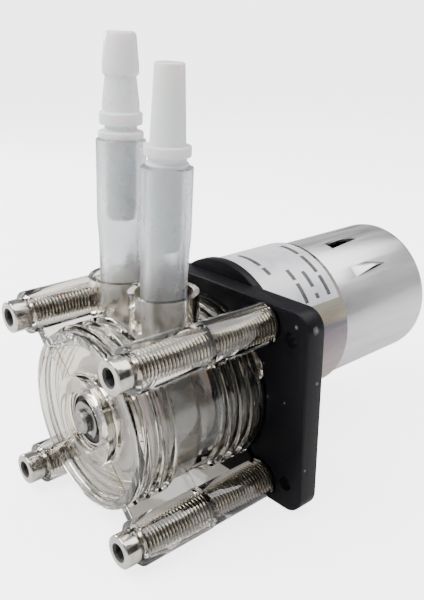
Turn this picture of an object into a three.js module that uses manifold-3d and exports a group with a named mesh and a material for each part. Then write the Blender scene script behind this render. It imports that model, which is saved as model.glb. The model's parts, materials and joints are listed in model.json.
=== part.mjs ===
// Peristaltic pump head on a black mounting plate, driven by a round spur gear motor.
// Units are millimetres, +Z is up. The pump shaft lies along Y and the head faces -Y.
// Every sub-part is built about the pump shaft with the plate's front face at y = 0,
// and one outer group then stands the pump on its lowest points.
import * as THREE from 'three';
import { mergeVertices } from 'three/addons/utils/BufferGeometryUtils.js';
import Module from 'manifold-3d';

const wasm = await Module();
wasm.setup();

// ---------------------------------------------------------------- driving dimensions
const headDepth = 35.3;          // clear head, screw boss end to screw boss end
const trackRadius = 17.0;        // inner wall that the tube is squeezed against
const barrelWall = 1.8;
const ribHeight = 1.4;
const ribWidth = 1.3;
const ribPitch = 3.2;
const ribCount = 3;              // on each half of the barrel
const frontRimProud = 0.8;       // past the barrel
const rimSetBack = 1.4;          // rim of the front disc, behind the boss ends
const rimWidth = 2.0;
const rimThickness = 1.8;
const faceRecess = 1.5;
const endWall = 2.0;
const hubRadius = 10.0;
const hubProud = 0.4;
const screwPitch = 38.0;         // square pattern of the four long screws
const bossFrontRadius = 4.75;
const bossRearRadius = 4.6;
const webThickness = 3.0;
const partingGap = 0.1;
const portSpacing = 14.4;
const portOuterRadius = 7.3;
const portWall = 1.3;
const portTop = 27.0;            // above the pump shaft

const plateWidth = 62.0;
const plateHeight = 47.5;
const plateThickness = 5.1;
const plateCorner = 4.5;
const earHoleInsetX = 4.7;       // from the plate's edges
const earHoleInsetZ = 6.55;
const earHoleRadius = 1.7;

const tubeOuter = 9.6;
const tubeWall = 1.6;
const tubeWallGap = 0.15;        // tube to track wall
const tubePinched = 2.8;         // tube thickness under a roller
const tubeEasing = 1.2;          // how much thinner it stays between two rollers
const tubeSpread = 3.7;          // how much wider it gets when pinched
const tubeStretch = 0.3;         // its ends swell over the fittings
const fittingGap = 0.35;
const fittingWall = 1.25;
const insertDepth = 16.3;
const leftTubeTop = 55.8;
const rightTubeTop = 52.3;

const rollerCount = 4;
const rollerRadius = 4.3;
const rollerGap = 0.25;          // roller to the pinched tube
const rollerLength = 13.2;
const rollerPinRadius = 1.5;
const rotorPlateInset = 0.6;     // rotor plate edge inside the rollers' reach
const rotorPlateThickness = 2.0;
const rotorHubRadius = 4.6;
const sideGap = 0.3;             // roller end to rotor plate
const runningGap = 0.08;         // shaft or pin to its bore

const shaftRadius = 3.0;
const shaftTipRadius = 2.5;
const shaftTipProud = 0.7;       // past the front of the hub
const bearingRadius = 6.5;
const bearingWidth = 3.9;

const screwRadius = 2.0;         // M4
const screwHeadRadius = 3.5;
const screwHeadLength = 4.0;
const screwSocketAcross = 3.0;
const nutAcross = 7.0;
const nutThickness = 3.2;
const smallScrewRadius = 1.45;   // M3
const smallScrewHeadRadius = 2.8;
const screwClearance = 0.25;

const motorRise = 7.8;           // motor axis above the pump shaft
const gearboxRadius = 18.5;
const gearboxWall = 1.1;
const gearboxFrontWall = 3.0;
const gearboxLength = 23.8;
const collarRadius = 19.4;
const collarDepth = 1.3;         // behind the plate
const collarFlange = 1.0;        // lobe thickness inside the plate's own thickness
const seatGap = 0.1;
const gearScrewCircle = 31.0;
const labelThickness = 0.15;
const labelInset = 1.4;
const canRadius = 17.8;
const canWall = 1.0;
const canLength = 33.9;
const canRoll = 2.5;
const ventLength = 12.6;
const ventWidth = 3.1;
const ventAngles = [45, 77, 225, 257];
const motorShaftRadius = 1.55;

const gearWallGap = 0.09;        // output gear to the gearbox wall
const outputTeeth = 30;
const wheelTeeth = 21;
const pinionTeeth = 12;
const toothThinning = 0.12;
const gearAddendum = 0.85;       // in modules
const gearDedendum = 1.15;

const bodyDivisions = 30;
const motorDivisions = 36;
const roundDivisions = 16;
const smallDivisions = 12;

// ---------------------------------------------------------------- derived places
const parting = -headDepth / 2;
const bossFront = -headDepth;
const rimFront = bossFront + rimSetBack;
const faceFront = rimFront + faceRecess;
const faceBack = faceFront + endWall;
const hubFront = rimFront - hubProud;
const barrelRadius = trackRadius + barrelWall;
const frontRimRadius = barrelRadius + frontRimProud;
const ribRadius = barrelRadius + ribHeight;
const cornerPlace = screwPitch / 2;
const portPlace = portSpacing / 2;
const portBore = portOuterRadius - portWall;
const rearWallFront = -endWall;
const tubeRadius = tubeOuter / 2;
const tubeOrbit = trackRadius - tubeWallGap - tubeRadius;
const tubeRelaxed = tubeOuter - tubeEasing;
const tubePinchedWidth = tubeOuter + tubeSpread;
const rollerReach = trackRadius - tubeWallGap - tubePinched - rollerGap;
const rollerOrbit = rollerReach - rollerRadius;
const rotorPlateRadius = rollerReach - rotorPlateInset;
const rotorHalf = rollerLength / 2 + sideGap;
const gearboxFront = plateThickness + seatGap;
const gearboxBack = gearboxFront + gearboxLength;
const canFront = gearboxBack + seatGap;
const canBack = canFront + canLength;
const outputReach = gearboxRadius - gearboxWall - motorRise - gearWallGap;
const gearModule = outputReach / (outputTeeth / 2 + gearAddendum);
const standHeight = plateHeight / 2;
const corners = [[-1, 1], [1, 1], [-1, -1], [1, -1]];

// ---------------------------------------------------------------- materials
function finish(color, roughness, metalness, opacity = 1) {
  return new THREE.MeshStandardMaterial({
    color, roughness, metalness, opacity, transparent: opacity < 1,
  });
}
const clearPlastic = () => finish(0xe9e6dd, 0.08, 0, 0.35);
const blackPlastic = () => finish(0x17181b, 0.45, 0);
const siliconeTube = () => finish(0xdfe5ea, 0.35, 0, 0.7);
const whiteNylon = () => finish(0xeeeeea, 0.4, 0);
const nickelSteel = () => finish(0xd8d5cd, 0.2, 1);
const darkSteel = () => finish(0x5a5856, 0.35, 1);
const zincSteel = () => finish(0xc4c0b6, 0.3, 1);
const paperLabel = () => finish(0xe6e6e8, 0.5, 0);
const bronze = () => finish(0xa9793f, 0.45, 1);
const gearSteel = () => finish(0x9a9a9a, 0.35, 1);
const copper = () => finish(0xb5653a, 0.3, 1);
const carbon = () => finish(0x222222, 0.8, 0);
const ferrite = () => finish(0x2b2b2e, 0.7, 0);
const rollerPlastic = () => finish(0xc9ccc8, 0.4, 0);

// ---------------------------------------------------------------- solids
function toSolid(geometry) {
  const plain = geometry.clone();
  plain.deleteAttribute('normal');
  plain.deleteAttribute('uv');
  const merged = mergeVertices(plain, 1e-4);
  const place = merged.attributes.position;
  const index = merged.index.array;
  const kept = [];
  let volume = 0;
  const corner = [new THREE.Vector3(), new THREE.Vector3(), new THREE.Vector3()];
  for (let i = 0; i < index.length; i += 3) {
    const [a, b, c] = [index[i], index[i + 1], index[i + 2]];
    if (a === b || b === c || c === a) continue;
    kept.push(a, b, c);
    [a, b, c].forEach((vertex, k) => corner[k].fromBufferAttribute(place, vertex));
    volume += corner[0].dot(corner[1].cross(corner[2]));
  }
  if (volume < 0) {
    for (let i = 0; i < kept.length; i += 3) [kept[i], kept[i + 1]] = [kept[i + 1], kept[i]];
  }
  const vertProperties = new Float32Array(place.array);
  const triVerts = new Uint32Array(kept);
  return new wasm.Manifold(new wasm.Mesh({ numProp: 3, vertProperties, triVerts }));
}

function toGeometry(solid) {
  const { vertProperties, triVerts } = solid.getMesh();
  const geometry = new THREE.BufferGeometry();
  geometry.setAttribute('position', new THREE.BufferAttribute(new Float32Array(vertProperties), 3));
  geometry.setIndex(new THREE.BufferAttribute(new Uint32Array(triVerts), 1));
  geometry.computeVertexNormals();
  return geometry;
}

const joined = (first, ...others) => others.reduce((sum, next) => sum.add(next), first);
const cutBy = (first, ...others) => others.reduce((rest, next) => rest.subtract(next), first);

// A solid of revolution about the Y axis through (x, z); the profile lists [radius, y].
function turned(profile, divisions = roundDivisions, x = 0, z = 0) {
  const points = profile.map(([radius, y]) => new THREE.Vector2(radius, y));
  const geometry = new THREE.LatheGeometry(points, divisions);
  geometry.translate(x, 0, z);
  return toSolid(geometry);
}

function rod(radius, from, to, x = 0, z = 0, divisions = roundDivisions) {
  return turned([[0, from], [radius, from], [radius, to], [0, to]], divisions, x, z);
}

function ring(inner, outer, from, to, x = 0, z = 0, divisions = roundDivisions) {
  const profile = [[inner, from], [outer, from], [outer, to], [inner, to], [inner, from]];
  return turned(profile, divisions, x, z);
}

// A shape drawn in X and Z, extruded along Y from one plane to another.
function extruded(shape, from, to, curveSegments = 6) {
  const settings = { depth: to - from, bevelEnabled: false, curveSegments };
  const geometry = new THREE.ExtrudeGeometry(shape, settings);
  geometry.rotateX(Math.PI / 2);
  geometry.translate(0, to, 0);
  return toSolid(geometry);
}

function block(x0, x1, y0, y1, z0, z1, turn = 0) {
  const geometry = new THREE.BoxGeometry(x1 - x0, y1 - y0, z1 - z0);
  geometry.translate((x0 + x1) / 2, (y0 + y1) / 2, (z0 + z1) / 2);
  geometry.rotateY(turn);
  return toSolid(geometry);
}

function upright(radius, x, y, from, to, divisions = roundDivisions) {
  const geometry = new THREE.CylinderGeometry(radius, radius, to - from, divisions);
  geometry.rotateX(Math.PI / 2);
  geometry.translate(x, y, (from + to) / 2);
  return toSolid(geometry);
}

function roundedRectangle(width, height, radius) {
  const [w, h] = [width / 2, height / 2];
  const shape = new THREE.Shape();
  shape.moveTo(w - radius, -h);
  shape.absarc(w - radius, -h + radius, radius, -Math.PI / 2, 0);
  shape.absarc(w - radius, h - radius, radius, 0, Math.PI / 2);
  shape.absarc(-w + radius, h - radius, radius, Math.PI / 2, Math.PI);
  shape.absarc(-w + radius, -h + radius, radius, Math.PI, 1.5 * Math.PI);
  return shape;
}

function polygon(sides, acrossFlats, turn = 0) {
  const radius = acrossFlats / 2 / Math.cos(Math.PI / sides);
  const shape = new THREE.Shape();
  for (let i = 0; i < sides; i += 1) {
    const angle = turn + (2 * Math.PI * (i + 0.5)) / sides;
    shape.lineTo(radius * Math.cos(angle), radius * Math.sin(angle));
  }
  return shape;
}

const pump = new THREE.Group();
const assembly = new THREE.Group();
pump.add(assembly);

function place(name, solid, material, x = 0, y = 0, z = 0, parent = assembly) {
  const mesh = new THREE.Mesh(toGeometry(solid), material);
  mesh.name = name;
  mesh.position.set(x, y, z);
  parent.add(mesh);
  return mesh;
}

// ---------------------------------------------------------------- clear head, two halves
// Ribs stand round the barrel in two groups, one towards each end of the head.
function barrelOutline(from, step) {
  const outline = [];
  for (let i = 0; i < ribCount; i += 1) {
    const middle = from + step * i * ribPitch;
    outline.push([barrelRadius, middle - (step * ribWidth) / 2]);
    outline.push([ribRadius, middle - (step * ribWidth) / 2]);
    outline.push([ribRadius, middle + (step * ribWidth) / 2]);
    outline.push([barrelRadius, middle + (step * ribWidth) / 2]);
  }
  return outline;
}

function screwBosses(radius, from, to) {
  return corners.map(([i, k]) => rod(radius, from, to, i * cornerPlace, k * cornerPlace));
}

function diagonalWebs(from, to) {
  const reach = cornerPlace * Math.SQRT2;
  const half = webThickness / 2;
  return corners.map(([i, k]) => (
    block(barrelRadius - 0.6, reach, from, to, -half, half, -Math.atan2(k, i))));
}

function hoseSockets() {
  const outers = [-1, 1].map((i) => (
    upright(portOuterRadius, i * portPlace, parting, 0.65 * trackRadius, portTop)));
  return joined(...outers);
}

function socketBores() {
  return joined(...[-1, 1].map((i) => (
    upright(portBore, i * portPlace, parting, 0.47 * trackRadius, portTop + 1))));
}

function finishHalf(shell, keepFrom, keepTo, cavityFrom, cavityTo) {
  const cavity = rod(trackRadius, cavityFrom, cavityTo, 0, 0, bodyDivisions);
  const holes = screwBosses(screwRadius + screwClearance, -headDepth - 1, 1);
  const whole = cutBy(shell.add(hoseSockets().subtract(cavity)), socketBores(), ...holes);
  const span = 4 * screwPitch;
  return whole.intersect(block(-span, span, keepFrom, keepTo, -span, span));
}

{
  const bearingStop = hubFront + 1.4 + bearingWidth;
  const shoulder = bearingRadius - 1.5;
  const innerHub = hubRadius - 1.0;
  const ribFrom = faceBack + 0.4;
  const rimBack = rimFront + rimThickness;
  const shell = turned([
    [bearingRadius + runningGap, hubFront], [hubRadius, hubFront], [hubRadius, faceFront],
    [frontRimRadius - rimWidth, faceFront], [frontRimRadius - rimWidth, rimFront],
    [frontRimRadius, rimFront], [frontRimRadius, rimBack], [barrelRadius, rimBack],
    ...barrelOutline(ribFrom, 1),
    [barrelRadius, parting], [trackRadius, parting], [trackRadius, faceBack],
    [innerHub, faceBack], [innerHub, bearingStop + 0.9], [shoulder, bearingStop + 0.9],
    [shoulder, bearingStop], [bearingRadius + runningGap, bearingStop],
    [bearingRadius + runningGap, hubFront],
  ], bodyDivisions);
  const spokes = corners.map(([i, k]) => (
    block(hubRadius - 0.5, barrelRadius - 0.5, rimFront, faceFront + 0.3, -0.45, 0.45,
      -Math.atan2(k, i))));
  const whole = joined(shell, ...spokes, ...diagonalWebs(rimFront, parting),
    ...screwBosses(bossFrontRadius, bossFront, parting));
  const keepTo = parting - partingGap / 2;
  place('front_cover', finishHalf(whole, bossFront - 1, keepTo, faceBack, 1), clearPlastic());
}

{
  const rearBore = 8.0;
  const rimFrontFace = -1.6;
  const ribFrom = -faceBack - headDepth - 0.4;
  const shell = turned([
    [rearBore, 0], [ribRadius, 0], [ribRadius, rimFrontFace], [barrelRadius, rimFrontFace],
    ...barrelOutline(ribFrom, -1),
    [barrelRadius, parting], [trackRadius, parting], [trackRadius, rearWallFront],
    [rearBore, rearWallFront], [rearBore, 0],
  ], bodyDivisions);
  const whole = joined(shell, ...diagonalWebs(parting, 0),
    ...screwBosses(bossRearRadius, parting, 0));
  const keepFrom = parting + partingGap / 2;
  place('rear_housing', finishHalf(whole, keepFrom, 0, -headDepth, rearWallFront), clearPlastic());
}

// ---------------------------------------------------------------- long screws and their nuts
{
  const tip = headDepth + plateThickness - 0.3;
  const body = turned([
    [0, -screwHeadLength], [screwHeadRadius - 0.3, -screwHeadLength],
    [screwHeadRadius, -screwHeadLength + 0.3], [screwHeadRadius, 0], [screwRadius, 0],
    [screwRadius, tip - 0.5], [screwRadius - 0.5, tip], [0, tip],
  ]);
  const socket = extruded(polygon(6, screwSocketAcross), -screwHeadLength - 1, -screwHeadLength + 2);
  const screw = body.subtract(socket);
  const nutBore = screwRadius + runningGap;
  const nut = extruded(polygon(6, nutAcross), 0, nutThickness)
    .subtract(rod(nutBore, -1, nutThickness + 1));
  const nutFront = plateThickness - nutThickness - 0.1;
  corners.forEach(([i, k], n) => {
    const [x, z] = [i * cornerPlace, k * cornerPlace];
    place(`cover_screw_${n + 1}`, screw, nickelSteel(), x, bossFront, z);
    place(`cover_nut_${n + 1}`, nut, nickelSteel(), x, nutFront, z);
  });
}

// ---------------------------------------------------------------- mounting plate
const gearScrewAngles = [0, 180, 225, 315];
const gearScrewPlaces = gearScrewAngles.map((degrees) => {
  const angle = THREE.MathUtils.degToRad(degrees);
  const reach = gearScrewCircle / 2;
  return [reach * Math.cos(angle), motorRise + reach * Math.sin(angle)];
});
const spigotRadius = 6.0;
const spigotFront = 1.0;
{
  const back = plateThickness + collarDepth;
  const slab = extruded(roundedRectangle(plateWidth, plateHeight, plateCorner), 0, plateThickness);
  const lobeFront = plateThickness - collarFlange;
  const lobe = rod(collarRadius, lobeFront, back, 0, motorRise, bodyDivisions);
  const recessRadius = gearboxRadius + screwClearance;
  const recess = rod(recessRadius, plateThickness, back + 1, 0, motorRise, bodyDivisions);
  const pocketFront = plateThickness - nutThickness - 0.1 - seatGap;
  const pocket = extruded(polygon(6, nutAcross + 2 * screwClearance), pocketFront, back + 1);
  const cuts = [
    recess, rod(spigotRadius + screwClearance, -1, back),
    ...corners.map(([i, k]) => (
      rod(screwRadius + screwClearance, -1, back, i * cornerPlace, k * cornerPlace))),
    ...corners.map(([i, k]) => (
      pocket.translate([i * cornerPlace, 0, k * cornerPlace]))),
    ...corners.map(([i, k]) => (
      rod(earHoleRadius, -1, back, i * (plateWidth / 2 - earHoleInsetX),
        k * (plateHeight / 2 - earHoleInsetZ), smallDivisions))),
    ...gearScrewPlaces.map(([x, z]) => {
      const hole = smallScrewRadius + screwClearance;
      const head = smallScrewHeadRadius + screwClearance;
      const drop = head - hole;
      return turned([[0, -1], [head, -1], [head, 0], [hole, drop], [hole, back], [0, back]],
        roundDivisions, x, z);
    }),
  ];
  place('mounting_plate', cutBy(slab.add(lobe), ...cuts), blackPlastic());
}

{
  const drop = smallScrewHeadRadius - smallScrewRadius;
  const tip = gearboxFront + gearboxFrontWall - 0.5;
  const body = turned([
    [0, 0.15], [smallScrewHeadRadius - 0.1, 0.15], [smallScrewRadius, 0.15 + drop],
    [smallScrewRadius, tip], [0, tip],
  ], smallDivisions);
  const cross = joined(block(-1.2, 1.2, -1, 0.9, -0.3, 0.3), block(-0.3, 0.3, -1, 0.9, -1.2, 1.2));
  const screw = body.subtract(cross);
  gearScrewPlaces.forEach(([x, z], n) => {
    place(`gearbox_screw_${n + 1}`, screw, nickelSteel(), x, 0, z);
  });
}

// ---------------------------------------------------------------- shaft and front bearing
const shaftTip = hubFront - shaftTipProud;
const bearingBack = hubFront + 1.4 + bearingWidth - 0.05;
const bearingFront = bearingBack - bearingWidth + 0.1;
const shaftStep = parting - rotorHalf - rotorPlateThickness - 0.6;
const outputGearFront = gearboxFront + gearboxFrontWall + 1.6;
const outputGearWidth = 4.0;
const shaftEnd = outputGearFront + outputGearWidth + 1.4;
const rotorBore = shaftRadius + runningGap;
{
  const shaft = turned([
    [0, shaftTip], [shaftTipRadius - 0.3, shaftTip], [shaftTipRadius, shaftTip + 0.3],
    [shaftTipRadius, shaftStep], [shaftRadius, shaftStep], [shaftRadius, shaftEnd], [0, shaftEnd],
  ]);
  place('output_shaft', shaft, darkSteel());
  const innerRing = ring(shaftTipRadius + runningGap, 3.6, bearingFront, bearingBack);
  place('bearing_inner_ring', innerRing, nickelSteel());
  const outerRing = ring(5.3, bearingRadius, bearingFront, bearingBack);
  place('bearing_outer_ring', outerRing, nickelSteel());
  const seal = ring(3.75, 5.15, bearingFront + 0.2, bearingFront + 0.7);
  place('bearing_seal', seal, blackPlastic());
  const clipShape = new THREE.Shape();
  const [inside, outside, open] = [shaftTipRadius + runningGap, 4.1, 0.7];
  clipShape.absarc(0, 0, outside, -Math.PI / 2 + open, 1.5 * Math.PI - open);
  clipShape.absarc(0, 0, inside, 1.5 * Math.PI - open, -Math.PI / 2 + open, true);
  const clip = extruded(clipShape, bearingFront - 0.7, bearingFront - 0.1, 12);
  place('retaining_clip', clip, darkSteel());
}

// ---------------------------------------------------------------- rotor and rollers
const rollerPlaces = Array.from({ length: rollerCount }, (_, n) => {
  const angle = (2 * Math.PI * n) / rollerCount;
  return [rollerOrbit * Math.cos(angle), rollerOrbit * Math.sin(angle)];
});
{
  const plateInner = parting - rotorHalf;
  const hubSpan = rotorHalf - 0.05;
  const screwTurn = -Math.PI / 4;
  const setHole = new THREE.CylinderGeometry(1.5, 1.5, 8, smallDivisions);
  setHole.rotateZ(Math.PI / 2);
  setHole.translate(5, parting, 0);
  setHole.rotateY(screwTurn);
  const hub = ring(rotorBore, rotorHubRadius, parting - hubSpan, parting + hubSpan);
  place('rotor_hub', hub.subtract(toSolid(setHole)), blackPlastic());
  const setScrew = new THREE.CylinderGeometry(1.3, 1.3, 1.25, smallDivisions);
  setScrew.rotateZ(Math.PI / 2);
  setScrew.translate(rotorBore + 0.15 + 0.625, parting, 0);
  setScrew.rotateY(screwTurn);
  place('rotor_set_screw', toSolid(setScrew), darkSteel());
  const pinHoles = rollerPlaces.map(([x, z]) => (
    rod(rollerPinRadius + runningGap, -headDepth, 0, x, z, smallDivisions)));
  const plateAt = (from) => cutBy(
    ring(rotorBore, rotorPlateRadius, from, from + rotorPlateThickness, 0, 0, bodyDivisions),
    ...pinHoles,
  );
  place('rotor_front_plate', plateAt(plateInner - rotorPlateThickness), rollerPlastic());
  place('rotor_rear_plate', plateAt(parting + rotorHalf), rollerPlastic());
  const half = rollerLength / 2;
  const bore = rollerPinRadius + runningGap;
  const roller = turned([
    [bore, -half], [rollerRadius - 0.4, -half], [rollerRadius, -half + 0.4],
    [rollerRadius, half - 0.4], [rollerRadius - 0.4, half], [bore, half], [bore, -half],
  ]);
  const pinHalf = rotorHalf + rotorPlateThickness + 0.4;
  const pin = rod(rollerPinRadius, -pinHalf, pinHalf, 0, 0, smallDivisions);
  rollerPlaces.forEach(([x, z], n) => {
    place(`roller_${n + 1}`, roller, rollerPlastic(), x, parting, z);
    place(`roller_pin_${n + 1}`, pin, nickelSteel(), x, parting, z);
  });
}

// ---------------------------------------------------------------- pump tube
// The route is chosen by hand above the sockets and follows the track below them.
const rightTop = [8.55, parting + 0.6, rightTubeTop];
const leftTop = [-6.5, parting + 0.6, leftTubeTop];
const rightLean = [0.05, 0.02];
const leftLean = [0.025, 0.027];
{
  const entry = portPlace + 0.85;
  const arcStart = Math.acos(entry / tubeOrbit);
  const bendTop = tubeOrbit * Math.sin(arcStart);
  const arcSteps = 14;
  const below = (top, lean, drop) => [top[0] - lean[0] * drop, top[1] - lean[1] * drop,
    top[2] - drop];
  const entrySteps = [[0.1, 19], [0, 12], [0.1, 7], [0.5, 2.9]];
  const route = [rightTop, below(rightTop, rightLean, 8), below(rightTop, rightLean, 17),
    ...entrySteps.map(([out, rise]) => [portPlace + out, parting, bendTop + rise])];
  for (let i = 0; i <= arcSteps; i += 1) {
    const angle = arcStart - ((Math.PI + 2 * arcStart) * i) / arcSteps;
    route.push([tubeOrbit * Math.cos(angle), parting, tubeOrbit * Math.sin(angle)]);
  }
  [...entrySteps].reverse().forEach(([out, rise]) => {
    route.push([-portPlace - out, parting, bendTop + rise]);
  });
  route.push(below(leftTop, leftLean, 17), below(leftTop, leftLean, 8), leftTop);
  const path = new THREE.CatmullRomCurve3(route.map((point) => new THREE.Vector3(...point)));
  const [legSteps, trackSteps] = [5, 24];
  const stations = 2 * legSteps + trackSteps;
  const total = path.getLength();
  const trackFrom = (rightTubeTop - bendTop - 2) / total;
  const trackTo = 1 - (leftTubeTop - bendTop - 2) / total;
  const alongAt = (step) => {
    if (step < legSteps) return (trackFrom * step) / legSteps;
    const left = stations - step;
    if (left < legSteps) return 1 - ((1 - trackTo) * left) / legSteps;
    return trackFrom + ((trackTo - trackFrom) * (step - legSteps)) / trackSteps;
  };
  const ringShape = new THREE.Shape();
  ringShape.absarc(0, 0, tubeRadius, 0, 2 * Math.PI);
  const lumen = new THREE.Path();
  lumen.absarc(0, 0, tubeRadius - tubeWall, 0, 2 * Math.PI);
  ringShape.holes.push(lumen);
  const straight = new THREE.ExtrudeGeometry(ringShape, {
    depth: 1, steps: stations, bevelEnabled: false, curveSegments: 6,
  });
  const vertices = straight.attributes.position;
  const up = new THREE.Vector3(0, 1, 0);
  for (let i = 0; i < vertices.count; i += 1) {
    const along = alongAt(Math.round(vertices.getZ(i) * stations));
    const centre = path.getPointAt(along);
    const tangent = path.getTangentAt(along);
    const outward = new THREE.Vector3().crossVectors(tangent, up).normalize();
    const acrossPlane = new THREE.Vector3().crossVectors(outward, tangent);
    const angle = Math.atan2(vertices.getY(i), vertices.getX(i));
    const isOuter = Math.hypot(vertices.getX(i), vertices.getY(i)) > tubeRadius - tubeWall / 2;
    const bearing = Math.atan2(centre.z, centre.x);
    const between = Math.PI / rollerCount;
    const nearest = Math.abs(bearing - 2 * between * Math.round(bearing / (2 * between)));
    const ease = ((1 - Math.cos((Math.PI * nearest) / between)) / 2) ** 1.35;
    const climb = THREE.MathUtils.smoothstep(centre.z, bendTop + 2, bendTop + 10);
    const onTrack = bearing > 0.9 && bearing < Math.PI - 0.9 ? tubeRelaxed
      : tubePinched + (tubeRelaxed - tubePinched) * ease;
    const thickness = onTrack + (tubeOuter - onTrack) * climb;
    const flat = (tubeOuter - thickness) / (tubeOuter - tubePinched);
    const halfWidth = (tubeOuter + (tubePinchedWidth - tubeOuter) * flat) / 2;
    const fitted = centre.x > 0 ? rightTubeTop - insertDepth : leftTubeTop - insertDepth;
    const swell = tubeStretch * THREE.MathUtils.smoothstep(centre.z, fitted - 3, fitted + 1);
    const wall = isOuter ? 0 : tubeWall;
    const halfHigh = Math.max(thickness / 2 - wall, 0.1) + swell;
    const halfWide = halfWidth - wall + swell;
    const shift = tubeRadius - thickness / 2;
    const point = centre.clone()
      .addScaledVector(outward, shift + halfHigh * Math.cos(angle))
      .addScaledVector(acrossPlane, halfWide * Math.sin(angle));
    vertices.setXYZ(i, point.x, point.y, point.z);
  }
  place('pump_tube', toSolid(straight), siliconeTube());
}

// ---------------------------------------------------------------- hose fittings
// Each is turned about its own axis, with y = 0 at the tube's end, then leant with the tube.
function fitting(name, profile, base, lean) {
  const mesh = place(name, turned(profile), whiteNylon(), ...base);
  const axis = new THREE.Vector3(...lean, 1).normalize();
  mesh.quaternion.setFromUnitVectors(new THREE.Vector3(0, 1, 0), axis);
}
{
  const shank = tubeRadius - tubeWall + tubeStretch - fittingGap;
  const bore = shank - fittingWall;
  const shankEnd = -insertDepth;
  const insert = [[bore, shankEnd], [shank - 0.35, shankEnd], [shank, shankEnd + 2.2]];
  fitting('hose_barb', [
    ...insert, [shank, 0.3], [4.6, 0.3], [4.6, 1.7], [3.3, 2.0], [3.3, 3.0], [4.35, 3.0],
    [4.35, 5.4], [3.75, 5.4], [3.75, 6.9], [3.1, 12.4], [3.65, 12.6], [3.65, 14.4], [3.3, 18.0],
    [3.15, 19.9], [2.7, 20.6], [bore, 20.6], [bore, shankEnd],
  ], leftTop, leftLean);
  fitting('hose_spigot', [
    ...insert, [shank, 0.3], [4.2, 0.3], [4.2, 0.9], [3.75, 0.9], [3.75, 2.1], [4.57, 2.1],
    [4.57, 4.1], [3.5, 4.1], [2.85, 18.7], [2.6, 19.0], [bore, 19.0], [bore, shankEnd],
  ], rightTop, rightLean);
}

// ---------------------------------------------------------------- gears
// Involute teeth; each shape has a tooth on the line at the angle it is turned to.
function gearShape(teeth, turn) {
  const pitch = (gearModule * teeth) / 2;
  const base = pitch * Math.cos(THREE.MathUtils.degToRad(20));
  const tip = pitch + gearAddendum * gearModule;
  const root = pitch - gearDedendum * gearModule;
  const involute = (radius) => {
    const slope = Math.acos(Math.min(1, base / radius));
    return Math.tan(slope) - slope;
  };
  const halfAtPitch = (Math.PI * gearModule - 2 * toothThinning) / (4 * pitch);
  const halfAngle = (radius) => halfAtPitch + involute(pitch) - involute(Math.max(radius, base));
  const shape = new THREE.Shape();
  for (let i = 0; i < teeth; i += 1) {
    const middle = turn + (2 * Math.PI * i) / teeth;
    const side = (radius, sign) => {
      const angle = middle + sign * halfAngle(radius);
      shape.lineTo(radius * Math.cos(angle), radius * Math.sin(angle));
    };
    side(root, -1);
    side(tip, -1);
    side(tip, 1);
    side(root, 1);
  }
  return shape;
}

const outputDistance = (gearModule * (outputTeeth + pinionTeeth)) / 2;
const inputDistance = (gearModule * (wheelTeeth + pinionTeeth)) / 2;
const layRise = (outputDistance ** 2 - inputDistance ** 2 + motorRise ** 2) / (2 * motorRise);
const layReach = Math.sqrt(outputDistance ** 2 - layRise ** 2);
const halfPinionPitch = Math.PI / pinionTeeth;
const wheelFront = outputGearFront + 8.5;
const wheelWidth = 3.0;
const layPinRadius = 1.0;
{
  const toOutput = Math.atan2(layRise, layReach);
  const toMotor = Math.atan2(motorRise - layRise, -layReach);
  const outputGear = extruded(gearShape(outputTeeth, toOutput), outputGearFront,
    outputGearFront + outputGearWidth)
    .subtract(rod(shaftRadius + runningGap, 0, 40));
  place('output_gear', outputGear, gearSteel());
  const pinionTurn = toOutput + Math.PI + halfPinionPitch;
  const wheel = extruded(gearShape(wheelTeeth, toMotor), wheelFront, wheelFront + wheelWidth);
  const layPinion = extruded(gearShape(pinionTeeth, pinionTurn), outputGearFront - 0.4,
    wheelFront + 0.5);
  const layBore = rod(layPinRadius + runningGap, 0, 60, 0, 0, smallDivisions);
  const cluster = wheel.add(layPinion).subtract(layBore);
  place('cluster_gear', cluster, gearSteel(), layReach, 0, layRise);
  const layPin = rod(layPinRadius, gearboxFront + 1, gearboxBack - 0.5, 0, 0, smallDivisions);
  place('cluster_pin', layPin, nickelSteel(), layReach, 0, layRise);
  const pinionFrom = wheelFront - 1.0;
  const drivePinion = extruded(gearShape(pinionTeeth, toMotor + Math.PI + halfPinionPitch),
    pinionFrom, wheelFront + wheelWidth + 1.0)
    .subtract(rod(motorShaftRadius + runningGap / 2, 0, 60));
  place('drive_pinion', drivePinion, gearSteel(), 0, 0, motorRise);
}

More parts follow.
